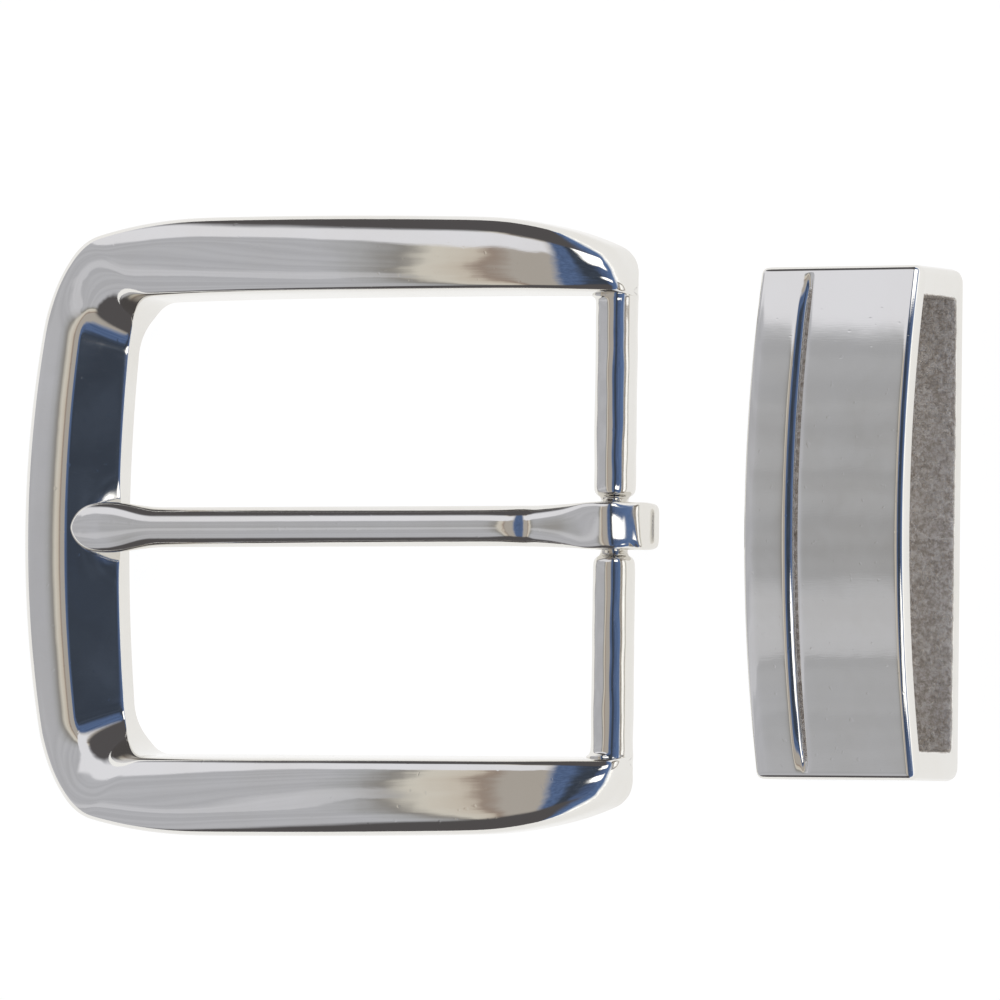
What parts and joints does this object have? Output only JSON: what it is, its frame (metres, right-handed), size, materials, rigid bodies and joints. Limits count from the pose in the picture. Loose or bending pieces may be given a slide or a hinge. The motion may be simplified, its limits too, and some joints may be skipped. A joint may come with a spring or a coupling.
{
  "type": "belt buckle",
  "caption": "Polished cast belt buckle with a square frame, swinging prong and matching arched keeper loop for a 38 mm strap.",
  "frame": {"origin": "under the middle of the whole set, on the plane that the backs lie on", "axes": "+Z out of the polished front, X along the strap with the tip bar at -X and the keeper at +X, Y across the strap"},
  "size_m": [0.094, 0.0554, 0.012],
  "materials": {
    "frame_plating": "mirror-polished bright nickel on a zinc casting, with a few small as-cast pits and a slightly lumpy heel bar",
    "prong_plating": "bright nickel plating, polished on the leaf and shaft",
    "keeper_plating": "mirror-polished front and ends, rough as-cast and plated inside the slot and groove"
  },
  "bodies": {
    "frame": {"buckle_frame": "frame_plating"},
    "prong": {"prong": "prong_plating"},
    "keeper": {"keeper": "keeper_plating"}
  },
  "joints": [
    {"name": "prong_hinge", "type": "hinge", "parent": "frame", "child": "prong", "pos_m": [0.0137, 0, 0.0019], "axis": [0, 1, 0], "range_deg": [0, 130]},
    {"name": "keeper_slide", "type": "slide", "parent": "frame", "child": "keeper", "axis": [1, 0, 0], "range_m": [-0.005, 0.04]}
  ]
}
